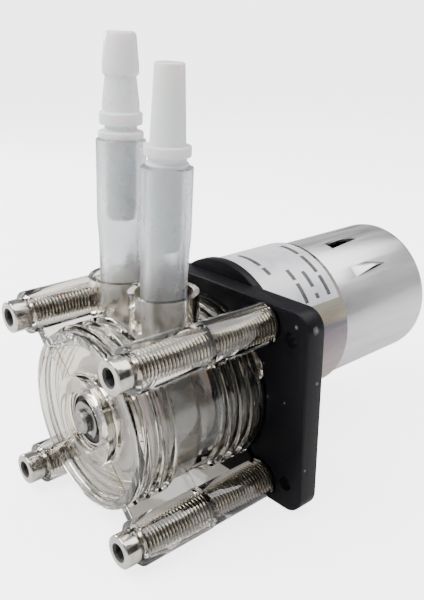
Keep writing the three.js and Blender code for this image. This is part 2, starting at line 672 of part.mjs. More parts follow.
// ---------------------------------------------------------------- gearbox
{
  const inner = gearboxRadius - gearboxWall;
  const wallBack = gearboxFront + gearboxFrontWall;
  const bushRadius = 4.5;
  const cup = turned([
    [0, gearboxFront], [gearboxRadius, gearboxFront], [gearboxRadius, gearboxBack],
    [inner, gearboxBack], [inner, wallBack], [0, wallBack],
  ], motorDivisions, 0, motorRise);
  const spigot = rod(spigotRadius, spigotFront, gearboxFront + 1);
  const housing = cutBy(cup.add(spigot),
    rod(bushRadius + runningGap, 0, wallBack + 1),
    rod(layPinRadius + runningGap, gearboxFront + 0.9, wallBack + 1, layReach, layRise,
      smallDivisions),
    ...gearScrewPlaces.map(([x, z]) => (
      rod(smallScrewRadius + screwClearance, 0, wallBack + 1, x, z, smallDivisions))));
  place('gearbox_housing', housing, zincSteel());
  const bush = ring(shaftRadius + runningGap, bushRadius, spigotFront, wallBack);
  place('output_bush', bush, bronze());
  const endFrom = gearboxBack - 2.6;
  const endPlate = ring(4.0, inner - 0.1, endFrom, gearboxBack, 0, motorRise, motorDivisions)
    .subtract(rod(layPinRadius + runningGap, endFrom - 1, gearboxBack + 1, layReach, layRise,
      smallDivisions));
  place('gearbox_end_plate', endPlate, zincSteel());

  const bandOuter = gearboxRadius + 0.05 + labelThickness;
  const band = ring(gearboxRadius + 0.05, bandOuter, plateThickness + collarDepth + 0.3,
    gearboxBack - labelInset, 0, 0, motorDivisions);
  const [from, to] = [30, 150].map(THREE.MathUtils.degToRad);
  const sector = new THREE.Shape();
  sector.moveTo(0, 0);
  [from, (from + to) / 2, to].forEach((angle) => {
    sector.lineTo(40 * Math.cos(angle), 40 * Math.sin(angle));
  });
  const label = band.intersect(extruded(sector, 0, 60));
  place('rating_label', label, paperLabel(), 0, 0, motorRise);
}

// ---------------------------------------------------------------- motor
{
  const inner = canRadius - canWall;
  const rollCentre = canRadius - canRoll;
  const rollStart = canBack - canRoll;
  const bushRadius = 3.5;
  const [bushFront, bushBack] = [canFront - 1.2, canFront + 2.8];
  const arc = (radius, from, to) => [0, 1 / 3, 2 / 3, 1].map((part) => {
    const angle = from + (to - from) * part;
    return [rollCentre + radius * Math.cos(angle), rollStart + radius * Math.sin(angle)];
  });
  const can = turned([
    [bushRadius + runningGap, canFront], [canRadius - 0.8, canFront], [canRadius, canFront + 0.8],
    ...arc(canRoll, 0, Math.PI / 2), [rollCentre - 0.9, canBack],
    [rollCentre - 0.9, canBack - canWall], ...arc(canRoll - canWall, Math.PI / 2, 0),
    [inner, canFront + 1.2], [bushRadius + runningGap, canFront + 1.2],
    [bushRadius + runningGap, canFront],
  ], motorDivisions);
  const ventFrom = canFront + 8.2;
  const vents = ventAngles.map((degrees) => {
    const slot = new THREE.Shape();
    slot.moveTo(-ventWidth / 2, 0);
    slot.lineTo(ventWidth / 2, 0);
    slot.lineTo(ventWidth * 0.1, ventLength);
    slot.lineTo(-ventWidth / 2, ventLength / 2);
    const geometry = new THREE.ExtrudeGeometry(slot, { depth: 6, bevelEnabled: false });
    geometry.translate(0, ventFrom, canRadius - 4);
    geometry.rotateY(THREE.MathUtils.degToRad(90 - degrees));
    return toSolid(geometry);
  });
  place('motor_can', cutBy(can, ...vents), zincSteel(), 0, 0, motorRise);
  const bushBore = motorShaftRadius + runningGap;
  const frontBush = ring(bushBore, bushRadius, bushFront, bushBack);
  place('motor_front_bush', frontBush, bronze(), 0, 0, motorRise);

  const capFront = canBack - 4.4;
  const capRim = canBack - 1.3;
  const capBack = canBack + 0.2;
  const cap = turned([
    [bushRadius + runningGap, capFront], [inner - 0.2, capFront], [inner - 0.2, rollStart - 0.1],
    [rollCentre, capRim], [5.4, capRim], [5.4, capBack], [bushRadius + runningGap, capBack],
    [bushRadius + runningGap, capFront],
  ], bodyDivisions);
  const terminalPlace = 9.0;
  const slots = [-1, 1].map((i) => (
    block(i * terminalPlace - 0.5, i * terminalPlace + 0.5, capFront - 1, canBack + 1, -1.7, 1.7)));
  place('motor_end_cap', cutBy(cap, ...slots), blackPlastic(), 0, 0, motorRise);
  const terminal = block(-0.25, 0.25, capFront - 0.4, canBack + 3.4, -1.4, 1.4)
    .subtract(block(-1, 1, canBack + 1.2, canBack + 2.4, -0.5, 0.5));
  [-1, 1].forEach((i) => {
    const side = i < 0 ? 'left' : 'right';
    place(`terminal_${side}`, terminal, nickelSteel(), i * terminalPlace, 0, motorRise);
  });
  const rearBush = ring(bushBore, bushRadius, capFront + 0.2, capBack - 0.2);
  place('motor_rear_bush', rearBush, bronze(), 0, 0, motorRise);

  const coreFrom = canFront + 6;
  const coreTo = coreFrom + 15;
  const coreRadius = 13.3;
  const poles = 5;
  const coreShape = new THREE.Shape();
  for (let i = 0; i < poles; i += 1) {
    const middle = (2 * Math.PI * i) / poles;
    const half = Math.PI / poles;
    const put = (radius, angle) => (
      coreShape.lineTo(radius * Math.cos(angle), radius * Math.sin(angle)));
    put(4.2, middle - half);
    put(6.2, middle - 0.3);
    put(11.3, middle - 0.17);
    put(11.9, middle - half + 0.07);
    [-1, -0.5, 0, 0.5, 1].forEach((part) => put(coreRadius, middle + part * (half - 0.07)));
    put(11.9, middle + half - 0.07);
    put(11.3, middle + 0.17);
    put(6.2, middle + 0.3);
  }
  const core = extruded(coreShape, coreFrom, coreTo)
    .subtract(rod(motorShaftRadius + runningGap / 2, coreFrom - 1, coreTo + 1));
  place('armature_core', core, gearSteel(), 0, 0, motorRise);
  const winding = (from, to) => turned([
    [4.0, from], [10.2, from], [11.6, (from + to) / 2], [10.2, to], [4.0, to], [4.0, from],
  ]);
  place('winding_front', winding(coreFrom - 3.2, coreFrom - 0.3), copper(), 0, 0, motorRise);
  place('winding_rear', winding(coreTo + 0.3, coreTo + 3.2), copper(), 0, 0, motorRise);
  const commutatorFrom = coreTo + 3.7;
  const commutatorTo = commutatorFrom + 3.6;
  const commutator = ring(motorShaftRadius + runningGap / 2, 4.2, commutatorFrom, commutatorTo);
  place('commutator', commutator, copper(), 0, 0, motorRise);
  const motorShaft = rod(motorShaftRadius, wheelFront - 1.4, capBack - 0.4);
  place('motor_shaft', motorShaft, nickelSteel(), 0, 0, motorRise);

  const magnetShape = new THREE.Shape();
  const spread = THREE.MathUtils.degToRad(65);
  magnetShape.absarc(0, 0, inner - 0.2, -spread, spread);
  magnetShape.absarc(0, 0, coreRadius + 0.5, spread, -spread, true);
  const magnet = extruded(magnetShape, coreFrom - 2.5, coreTo + 2.5, 14);
  [['left', Math.PI], ['right', 0]].forEach(([side, turn]) => {
    const mesh = place(`magnet_${side}`, magnet, ferrite(), 0, 0, motorRise);
    mesh.rotation.y = turn;
    const brush = block(4.5, 8.3, commutatorFrom + 0.5, commutatorTo - 0.5, -1.8, 1.8);
    const carried = place(`brush_${side}`, brush, carbon(), 0, 0, motorRise);
    carried.rotation.y = turn;
    const arm = block(8.5, 8.9, commutatorFrom, capFront - 0.6, -1.6, 1.6);
    const spring = place(`brush_arm_${side}`, arm, copper(), 0, 0, motorRise);
    spring.rotation.y = turn;
  });
}

// ---------------------------------------------------------------- stand the pump on its base
const backmost = canBack + 3.4;
const foremost = bossFront - screwHeadLength;
assembly.position.set(0, -(backmost + foremost) / 2, standHeight);

export default pump;
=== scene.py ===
import json
from math import atan2, cos, pi, radians, sin

import bmesh
import bpy
from mathutils import Matrix, Vector
from mathutils.geometry import interpolate_bezier


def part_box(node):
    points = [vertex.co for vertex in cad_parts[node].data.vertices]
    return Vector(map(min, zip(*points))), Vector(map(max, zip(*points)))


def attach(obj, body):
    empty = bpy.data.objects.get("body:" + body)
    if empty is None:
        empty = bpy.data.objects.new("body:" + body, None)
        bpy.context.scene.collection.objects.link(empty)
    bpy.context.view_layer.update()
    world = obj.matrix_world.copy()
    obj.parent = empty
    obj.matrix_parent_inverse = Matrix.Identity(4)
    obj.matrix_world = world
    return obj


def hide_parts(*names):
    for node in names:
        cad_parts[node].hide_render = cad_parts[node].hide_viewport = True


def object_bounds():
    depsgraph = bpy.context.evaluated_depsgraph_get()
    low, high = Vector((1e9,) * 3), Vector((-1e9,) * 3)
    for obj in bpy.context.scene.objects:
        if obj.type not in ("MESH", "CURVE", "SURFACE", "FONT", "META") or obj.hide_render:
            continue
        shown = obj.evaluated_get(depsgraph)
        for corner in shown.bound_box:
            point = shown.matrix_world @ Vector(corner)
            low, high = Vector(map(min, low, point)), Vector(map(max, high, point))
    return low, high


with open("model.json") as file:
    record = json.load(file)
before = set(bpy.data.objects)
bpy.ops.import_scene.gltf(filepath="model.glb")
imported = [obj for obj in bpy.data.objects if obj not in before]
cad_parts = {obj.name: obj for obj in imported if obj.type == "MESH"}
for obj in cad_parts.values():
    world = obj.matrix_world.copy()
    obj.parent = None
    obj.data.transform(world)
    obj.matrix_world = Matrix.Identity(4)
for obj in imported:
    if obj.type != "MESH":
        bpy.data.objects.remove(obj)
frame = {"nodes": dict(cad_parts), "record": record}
cad_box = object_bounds()

# ---- Camera, floor and studio light ---------------------------------------------------------
# The pump is seen from its front right corner, a little from above, with the motor running away
# to the back right. It stands on a pale paper sweep under large soft lights. Four black cards
# outside the view give the clear and plated surfaces something dark to show.
floor_z = cad_box[0].z
shaft_low, shaft_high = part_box("output_shaft")
plate_low, plate_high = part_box("mounting_plate")
shaft = Vector(((shaft_low.x + shaft_high.x) / 2, plate_low.y, (shaft_low.z + shaft_high.z) / 2))

aim = shaft + Vector((0, 0.00174, 0.01817))
towards_camera = Vector((0.7029, -0.6171, 0.3536)).normalized()
camera_distance = 0.16737
camera = bpy.data.objects.new("camera", bpy.data.cameras.new("camera"))
camera.data.lens = 43.61
camera.data.sensor_width = 36
camera.data.clip_start = 0.005
camera.location = aim + towards_camera * camera_distance
camera.rotation_euler = (-towards_camera).to_track_quat("-Z", "Y").to_euler()
bpy.context.scene.collection.objects.link(camera)
bpy.context.scene.camera = camera

sweep = bmesh.new()
flat_reach, bend_radius = 1.0, 0.5
bend = [(flat_reach + bend_radius * sin(radians(a)), bend_radius * (1 - cos(radians(a))))
        for a in range(0, 91, 10)]
profile = [(0, 0), (0.4, 0), *bend, (1.5, 0.62)]
floor_gap = 0.0002
verts = [sweep.verts.new((r, 0, z + floor_z - floor_gap)) for r, z in profile]
edges = [sweep.edges.new(pair) for pair in zip(verts, verts[1:])]
bmesh.ops.spin(sweep, geom=verts + edges, cent=(0, 0, 0), axis=(0, 0, 1), angle=2 * pi, steps=64,
               use_merge=True)
bmesh.ops.remove_doubles(sweep, verts=sweep.verts, dist=1e-5)
bmesh.ops.recalc_face_normals(sweep, faces=sweep.faces)
for face in sweep.faces:
    face.smooth = True
sweep_mesh = bpy.data.meshes.new("studio_sweep")
sweep.to_mesh(sweep_mesh)
sweep.free()
sweep_object = bpy.data.objects.new("studio_sweep", sweep_mesh)
bpy.context.scene.collection.objects.link(sweep_object)
white_paper = bpy.data.materials.new("white_paper")
white_paper.use_nodes = True
paper_shader = white_paper.node_tree.nodes["Principled BSDF"]
paper_shader.inputs["Base Color"].default_value = (0.62, 0.62, 0.62, 1)
paper_shader.inputs["Roughness"].default_value = 0.9
paper_shader.inputs["Specular IOR Level"].default_value = 0.1
paper_shader.inputs["Emission Color"].default_value = (1, 1, 1, 1)
paper_tree = white_paper.node_tree
seen = paper_tree.nodes.new("ShaderNodeLightPath")
glow = paper_tree.nodes.new("ShaderNodeMapRange")
glow.inputs["To Min"].default_value = 0.3
glow.inputs["To Max"].default_value = 3.4
paper_tree.links.new(seen.outputs["Is Camera Ray"], glow.inputs["Value"])
paper_tree.links.new(glow.outputs["Result"], paper_shader.inputs["Emission Strength"])
sweep_mesh.materials.append(white_paper)

world = bpy.data.worlds.new("studio")
world.use_nodes = True
world.node_tree.nodes["Background"].inputs["Color"].default_value = (0.95, 0.96, 1.0, 1)
world.node_tree.nodes["Background"].inputs["Strength"].default_value = 0.5
bpy.context.scene.world = world

for name, place, size, power in (
    ("key_light", (-0.12, -0.30, 0.50), 0.42, 6.0),
    ("top_light", (0.12, 0.25, 0.60), 0.55, 4.5),
    ("left_light", (-0.55, -0.10, 0.25), 0.20, 3.5),
):
    lamp = bpy.data.objects.new(name, bpy.data.lights.new(name, "AREA"))
    lamp.data.size = size
    lamp.data.energy = power
    lamp.location = place
    lamp.rotation_euler = (aim - Vector(place)).to_track_quat("-Z", "Y").to_euler()
    bpy.context.scene.collection.objects.link(lamp)

black_card = bpy.data.materials.new("black_card")
black_card.use_nodes = True
card_shader = black_card.node_tree.nodes["Principled BSDF"]
card_shader.inputs["Base Color"].default_value = (0.01, 0.01, 0.01, 1)
for name, place, size in (
    ("right_card", (0.62, 0.12, 0.17), 0.26),
    ("front_card", (0.14, -0.75, 0.15), 0.22),
    ("back_card", (-0.25, 0.62, 0.16), 0.22),
    ("left_card", (-0.42, -0.45, 0.02), 0.16),
):
    card = bmesh.new()
    bmesh.ops.create_grid(card, x_segments=1, y_segments=1, size=size)
    facing = (aim - Vector(place)).to_track_quat("Z", "Y").to_matrix().to_4x4()
    bmesh.ops.transform(card, matrix=Matrix.Translation(place) @ facing, verts=card.verts)
    card_mesh = bpy.data.meshes.new(name)
    card.to_mesh(card_mesh)
    card.free()
    card_mesh.materials.append(black_card)
    card_object = bpy.data.objects.new(name, card_mesh)
    card_object.visible_camera = False
    card_object.visible_diffuse = False
    card_object.visible_shadow = False
    bpy.context.scene.collection.objects.link(card_object)

# ---- Clear head ------------------------------------------------------------------------------
# Two polycarbonate mouldings meet on the plane of the tube and make the ribbed barrel, the hose
# sockets and the four screw bosses. They are moulded, polished and held by the long screws.
parting_y, parting_gap = -17.65, 0.05
head_front_y = -35.3
track_radius = 17.0
barrel_radius = 18.8
rib_radius = 20.2
rib_half, rib_foot, rib_pitch, first_rib = 0.45, 0.65, 3.2, 7.15
boss_place, boss_bore = 19.0, 1.5
socket_place, socket_radius, socket_bore = 7.2, 7.3, 6.0
corners = ((-1, 1), (1, 1), (-1, -1), (1, -1))
millimetre = 0.001
stand = Matrix.Translation(shaft) @ Matrix.Scale(millimetre, 4)


def turned(bm, outline, x=0, z=0, steps=96, turn=2 * pi, start=0):
    """Spins a closed [radius, y] outline about the line through (x, z) along Y."""
    first_angle = Matrix.Rotation(start, 3, "Y")
    verts = [bm.verts.new(Vector((x, 0, z)) + first_angle @ Vector((r, y, 0))) for r, y in outline]
    edges = [bm.edges.new(pair) for pair in zip(verts, verts[1:] + verts[:1])]
    if turn < 2 * pi:
        cap = bm.faces.new(verts)
        bmesh.ops.spin(bm, geom=[cap, *edges, *verts], cent=(x, 0, z), axis=(0, 1, 0), angle=turn,
                       steps=steps)
    else:
        bmesh.ops.spin(bm, geom=edges + verts, cent=(x, 0, z), axis=(0, 1, 0), angle=turn,
                       steps=steps, use_merge=True)
    bmesh.ops.remove_doubles(bm, verts=bm.verts, dist=1e-4)
    bmesh.ops.dissolve_degenerate(bm, edges=bm.edges, dist=1e-5)


def rod(bm, radius, y0, y1, x=0, z=0, steps=48):
    """A cylinder along Y between two values."""
    turned(bm, [(0, y0), (radius, y0), (radius, y1), (0, y1)], x, z, steps)


def block(bm, x, y, z, turn=0):
    """A box between two values on each axis, turned about the pump shaft."""
    made = bmesh.ops.create_cube(bm, size=1)["verts"]
    middle = [(a + b) / 2 for a, b in (x, y, z)]
    sizes = [b - a for a, b in (x, y, z)]
    bmesh.ops.scale(bm, vec=sizes, verts=made)
    bmesh.ops.translate(bm, vec=middle, verts=made)
    bmesh.ops.rotate(bm, cent=(0, 0, 0), matrix=Matrix.Rotation(turn, 3, "Y"), verts=made)


def soften(bm, width, segments=2, above=35):
    """Rounds every edge that turns by more than a given angle."""
    bm.normal_update()
    hard = [e for e in bm.edges if len(e.link_faces) == 2 and e.calc_face_angle() > radians(above)]
    bmesh.ops.bevel(bm, geom=hard, offset=width, offset_type="OFFSET", affect="EDGES",
                    segments=segments, profile=0.5, material=-1, clamp_overlap=True)


def as_object(bm, name):
    """An object of its own for a mesh, facing outwards."""
    bmesh.ops.recalc_face_normals(bm, faces=bm.faces)
    mesh = bpy.data.meshes.new(name)
    bm.to_mesh(mesh)
    bm.free()
    made = bpy.data.objects.new(name, mesh)
    bpy.context.scene.collection.objects.link(made)
    return made


def add_to(bm, other):
    """Puts another mesh's faces into this one."""
    spare = bpy.data.meshes.new("spare")
    other.to_mesh(spare)
    other.free()
    bm.from_mesh(spare)
    bpy.data.meshes.remove(spare)


def fresh(shape, *values):
    """A new mesh that holds one shape."""
    bm = bmesh.new()
    shape(bm, *values)
    return bm


def combined(base, tool, operation):
    """Joins, cuts or trims one closed mesh with another, and gives the result back."""
    first, second = as_object(base, "first"), as_object(tool, "second")
    step = first.modifiers.new("combine", "BOOLEAN")
    step.operation, step.object, step.solver = operation, second, "MANIFOLD"
    bpy.context.view_layer.update()
    graph = bpy.context.evaluated_depsgraph_get()
    mesh = bpy.data.meshes.new_from_object(first.evaluated_get(graph))
    result = bmesh.new()
    result.from_mesh(mesh)
    for used in (first, second):
        bpy.data.objects.remove(used)
    bmesh.ops.remove_doubles(result, verts=result.verts, dist=1e-5)
    if not result.faces:
        raise RuntimeError(f"nothing is left of a {operation.lower()}")
    return result


def joined(base, *parts):
    """Joins closed meshes to a closed mesh, one after another."""
    for part in parts:
        base = combined(base, part, "UNION")
    return base


def cut_by(base, *tools):
    """Cuts a closed mesh with others, one after another."""
    for tool in tools:
        base = combined(base, tool, "DIFFERENCE")
    return base


def settle(bm, name, body, nodes, material, sharp=34, inlay=None, inlaid=None):
    """Moves a piece from millimetres about the pump shaft to its place, and fixes it to its body.

    Edges that turn by more than sharp degrees stay crisp. Faces for which inlaid is true of their
    middle take the inlay material.
    """
    if inlaid:
        for face in bm.faces:
            face.material_index = int(inlaid(face.calc_center_median()))
    bmesh.ops.transform(bm, matrix=stand, verts=bm.verts)
    bmesh.ops.recalc_face_normals(bm, faces=bm.faces)
    for edge in bm.edges:
        edge.smooth = len(edge.link_faces) == 2 and edge.calc_face_angle() < radians(sharp)
    for face in bm.faces:
        face.smooth = True
    mesh = bpy.data.meshes.new(name)
    bm.to_mesh(mesh)
    bm.free()
    mesh.materials.append(material)
    if inlay:
        mesh.materials.append(inlay)
    piece = bpy.data.objects.new(name, mesh)
    bpy.context.scene.collection.objects.link(piece)
    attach(piece, body)
    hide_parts(*nodes)


def finish_of(name, **values):
    """A material with its plain values on the shader's own sockets."""
    material = bpy.data.materials.new(name)
    material.use_nodes = True
    shader = material.node_tree.nodes["Principled BSDF"]
    for socket, value in values.items():
        shader.inputs[socket.replace("_", " ")].default_value = value
    return material


def pattern(material, kind, scale, detail=4, stretch=(1, 1, 1)):
    """A noise, voronoi or wave pattern in the piece's own coordinates."""
    tree = material.node_tree
    where = tree.nodes.new("ShaderNodeTexCoord")
    mapping = tree.nodes.new("ShaderNodeMapping")
    mapping.inputs["Scale"].default_value = stretch
    texture = tree.nodes.new(kind)
    texture.inputs["Scale"].default_value = scale
    texture.inputs["Detail"].default_value = detail
    tree.links.new(where.outputs["Object"], mapping.inputs["Vector"])
    tree.links.new(mapping.outputs["Vector"], texture.inputs["Vector"])
    return texture


def vary(material, texture, socket, low_value, high_value, span=(0.3, 0.7)):
    """Spreads a pattern over a range of a number or between two colours."""
    tree = material.node_tree
    shader = tree.nodes["Principled BSDF"]
    if isinstance(low_value, tuple):
        ramp = tree.nodes.new("ShaderNodeValToRGB")
        ramp.color_ramp.elements[0].position, ramp.color_ramp.elements[1].position = span
        ramp.color_ramp.elements[0].color = (*low_value, 1)
        ramp.color_ramp.elements[1].color = (*high_value, 1)
        tree.links.new(texture.outputs[0], ramp.inputs["Fac"])
        tree.links.new(ramp.outputs["Color"], shader.inputs[socket])
        return ramp
    spread = tree.nodes.new("ShaderNodeMapRange")
    spread.inputs["From Min"].default_value, spread.inputs["From Max"].default_value = span
    spread.inputs["To Min"].default_value = low_value
    spread.inputs["To Max"].default_value = high_value
    tree.links.new(texture.outputs[0], spread.inputs["Value"])
    tree.links.new(spread.outputs["Result"], shader.inputs[socket])
    return spread


def roughen(material, texture, strength, distance=0.00005):
    """Raises the surface a little by a pattern."""
    tree = material.node_tree
    bump = tree.nodes.new("ShaderNodeBump")
    bump.inputs["Strength"].default_value = strength
    bump.inputs["Distance"].default_value = distance
    tree.links.new(texture.outputs[0], bump.inputs["Height"])
    tree.links.new(bump.outputs["Normal"], tree.nodes["Principled BSDF"].inputs["Normal"])


def prism(bm, radius, length, place, axis="X", sides=6):
    """A regular prism about a place, turned a quarter about an axis."""
    made = bmesh.ops.create_cone(bm, cap_ends=True, segments=sides, radius1=radius, radius2=radius,
                                 depth=length)["verts"]
    bmesh.ops.rotate(bm, cent=(0, 0, 0), matrix=Matrix.Rotation(pi / 2, 3, axis), verts=made)
    bmesh.ops.translate(bm, vec=place, verts=made)


clear_polycarbonate = finish_of("clear_polycarbonate", Base_Color=(0.90, 0.862, 0.79, 1),
                                Transmission_Weight=1.0, IOR=1.57, Roughness=0.02)
moulding_flow = pattern(clear_polycarbonate, "ShaderNodeTexNoise", 180, 2)
vary(clear_polycarbonate, moulding_flow, "Roughness", 0.0, 0.05)
roughen(clear_polycarbonate, moulding_flow, 0.12)


def wear(material, spots, colour):
    """Rubs small broken patches into a finish; each spot is a place in millimetres and a reach."""
    tree = material.node_tree
    shader = tree.nodes["Principled BSDF"]
    grain = pattern(material, "ShaderNodeTexNoise", 1400, 5)
    where = tree.nodes.new("ShaderNodeTexCoord")
    total = None
    for place, reach in spots:
        away = tree.nodes.new("ShaderNodeVectorMath")
        away.operation = "DISTANCE"
        away.inputs[1].default_value = stand @ Vector(place)
        tree.links.new(where.outputs["Object"], away.inputs[0])
        fade = tree.nodes.new("ShaderNodeMapRange")
        fade.inputs["From Min"].default_value = millimetre * reach
        fade.inputs["From Max"].default_value = 0
        tree.links.new(away.outputs["Value"], fade.inputs["Value"])
        if total:
            larger = tree.nodes.new("ShaderNodeMath")
            larger.operation = "MAXIMUM"
            tree.links.new(total, larger.inputs[0])
            tree.links.new(fade.outputs["Result"], larger.inputs[1])
            total = larger.outputs[0]
        else:
            total = fade.outputs["Result"]
    rubbed = tree.nodes.new("ShaderNodeMath")
    rubbed.operation = "MULTIPLY"
    tree.links.new(total, rubbed.inputs[0])
    tree.links.new(grain.outputs[0], rubbed.inputs[1])
    edge = tree.nodes.new("ShaderNodeMapRange")
    edge.inputs["From Min"].default_value = 0.16
    edge.inputs["From Max"].default_value = 0.5
    tree.links.new(rubbed.outputs[0], edge.inputs["Value"])
    mix = tree.nodes.new("ShaderNodeMix")
    mix.data_type = "RGBA"
    mix.inputs[6].default_value = shader.inputs["Base Color"].default_value
    mix.inputs[7].default_value = (*colour, 1)
    tree.links.new(edge.outputs["Result"], mix.inputs["Factor"])
    tree.links.new(mix.outputs[2], shader.inputs["Base Color"])


def mottled(name, low_colour, high_colour, low_rough, high_rough, scale, bump=0.15,
            stretch=(1, 1, 1), **values):
    """A finish whose colour, gloss and surface all vary by one pattern."""
    material = finish_of(name, **values)
    texture = pattern(material, "ShaderNodeTexNoise", scale, 5, stretch)
    vary(material, texture, "Base Color", low_colour, high_colour)
    vary(material, texture, "Roughness", low_rough, high_rough)
    roughen(material, texture, bump, 0.00003)
    return material


def upright(bm, radius, x, z0, z1, steps=64):
    """A vertical cylinder on the parting plane."""
    made = bmesh.ops.create_cone(bm, cap_ends=True, segments=steps, radius1=radius, radius2=radius,
                                 depth=z1 - z0)["verts"]
    bmesh.ops.translate(bm, vec=(x, parting_y, (z0 + z1) / 2), verts=made)


face_recess_y = -32.4
rim_front_y = -33.9
hub_front_y = -34.3
inner_face_y = -30.4

for half in ("front_cover", "rear_housing"):
    front = half == "front_cover"
    side = -1 if front else 1
    ribs = [parting_y + side * (first_rib + n * rib_pitch) for n in range(3)]
    outline = [(barrel_radius, parting_y)]
    for rib in ribs:
        outline += [(barrel_radius, rib - side * rib_foot), (rib_radius, rib - side * rib_half),
                    (rib_radius, rib + side * rib_half), (barrel_radius, rib + side * rib_foot)]
    shell = bmesh.new()
    if front:
        outline += [(barrel_radius, -32.3), (19.5, -32.3), (19.5, rim_front_y), (17.6, rim_front_y),
                    (17.3, face_recess_y), (10.0, face_recess_y), (10.0, hub_front_y),
                    (0, hub_front_y), (0, parting_y)]
    else:
        outline += [(barrel_radius, -1.6), (rib_radius, -1.6), (rib_radius, 0), (0, 0),
                    (0, parting_y)]
    turned(shell, outline, steps=128)
    soften(shell, 0.22)
    boss_end = head_front_y if front else 0
    boss_radius = 4.75 if front else 4.6
    ends = sorted((boss_end, parting_y))
    web_span = (rim_front_y, parting_y) if front else (parting_y, 0)
    parts, bores = [], []
    for i, k in corners:
        boss = fresh(rod, boss_radius, *ends, i * boss_place, k * boss_place, 64)
        soften(boss, 0.3)
        turn = -atan2(k, i)
        parts += [boss, fresh(block, (18.2, boss_place * 1.4142), web_span, (-1.5, 1.5), turn)]
        if front:
            spoke_span = (rim_front_y, face_recess_y + 0.4)
            parts.append(fresh(block, (9.6, 18.4), spoke_span, (-0.3, 0.3), turn))
        bores.append(fresh(rod, boss_bore, -36.5, 1.5, i * boss_place, k * boss_place, 32))
    for x in (-socket_place, socket_place):
        parts.append(fresh(upright, socket_radius, x, 10.0, 27.0))
        bores.append(fresh(upright, socket_bore, x, 9.0, 28.0))
    chamber = bmesh.new()
    if front:
        turned(chamber, [(0, -40), (6.5, -40), (6.5, -29.0), (8.9, -29.0), (8.9, inner_face_y),
                         (track_radius, inner_face_y), (track_radius, 5), (0, 5)], steps=128)
    else:
        turned(chamber, [(0, -40), (track_radius, -40), (track_radius, -2.0), (8.0, -2.0), (8.0, 1),
                         (0, 1)], steps=128)
    kept_span = (-60, parting_y - parting_gap) if front else (parting_y + parting_gap, 40)
    shell = cut_by(joined(shell, *parts), chamber, *bores)
    shell = combined(shell, fresh(block, (-60, 60), kept_span, (-60, 60)), "INTERSECT")
    settle(shell, f"clear_{half}", "pump_frame", [half], clear_polycarbonate)

# ---- Long cover screws -----------------------------------------------------------------------
# Four nickel plated M4 socket head screws run from the front of the head to nuts in the plate.
# They are cold headed, with rolled thread over their whole length, and show through the bosses.
nickel_steel = mottled("nickel_steel", (0.40, 0.375, 0.335), (0.58, 0.555, 0.51), 0.10, 0.24, 900,
                       Metallic=1.0)
# Painted shade: a near-black finish laid inside the hex sockets and along the thread roots, where
# shade falls.
socket_and_root_shade = mottled("socket_and_root_shade", (0.008, 0.008, 0.008), (0.03, 0.028, 0.026), 0.5, 0.8, 1200)


def threaded(bm, x, z, y0, y1, crest=2.0, root=1.55, pitch=0.8, steps=28):
    """A rolled thread swept along its own helix and trimmed flat at both ends."""
    turns = int((y1 - y0) / pitch) + 3
    shoulder = crest - 0.04
    tooth = [(root, 0), (root, 0.2), (shoulder, 0.46), (crest, 0.52), (crest, 0.68),
             (shoulder, 0.74), (root, 1)]
    verts = [bm.verts.new((x + r, y0 + (t - 1.5) * pitch, z)) for r, t in tooth]
    edges = [bm.edges.new(pair) for pair in zip(verts, verts[1:])]
    bmesh.ops.spin(bm, geom=verts + edges, cent=(x, 0, z), axis=(0, 1, 0), angle=2 * pi * turns,
                   dvec=(0, pitch / steps, 0), steps=steps * turns)
    bmesh.ops.remove_doubles(bm, verts=bm.verts, dist=1e-3)
    for y, normal in ((y0, -1), (y1, 1)):
        everything = [*bm.verts, *bm.edges, *bm.faces]
        bmesh.ops.bisect_plane(bm, geom=everything, plane_co=(x, y, z), plane_no=(0, normal, 0),
                               clear_outer=True)
        rim = [e for e in bm.edges if len(e.link_faces) == 1 and abs(e.verts[0].co.y - y) < 1e-3]
        bmesh.ops.holes_fill(bm, edges=rim)


nut_y = 3.4
for n, (i, k) in enumerate(corners, 1):
    x, z = i * boss_place, k * boss_place
    head = bmesh.new()
    rod(head, 3.5, -39.3, head_front_y, x, z, 64)
    soften(head, 0.35, 3)
    socket = fresh(prism, 1.732, 4, (x, -38.9, z))
    mouth = fresh(turned, [(0, -39.6), (2.3, -39.6), (1.7, -38.9), (0, -38.9)], x, z, 48)
    head = cut_by(head, socket, mouth)
    add_to(head, fresh(threaded, x, z, head_front_y - 0.4, 4.6))
    # Faces inside the socket and at the thread roots take the painted shade.
    settle(head, f"socket_screw_{n}", "pump_frame", [f"cover_screw_{n}"],
           nickel_steel, inlay=socket_and_root_shade, inlaid=lambda c: (
               (c.x - x) ** 2 + (c.z - z) ** 2 < (1.6 if c.y > head_front_y else 2.05) ** 2
               and -39.28 < c.y < 4.5))

    nut = fresh(prism, 4.04, 3.2, (x, nut_y, z))
    soften(nut, 0.25)
    bore = fresh(turned, [(0, 1.5), (2.4, 1.5), (2.08, 2.2), (2.08, 4.6), (2.4, 5.3), (0, 5.3)],
                 x, z, 32)
    settle(cut_by(nut, bore), f"hex_nut_{n}", "pump_frame", [f"cover_nut_{n}"],
           nickel_steel)

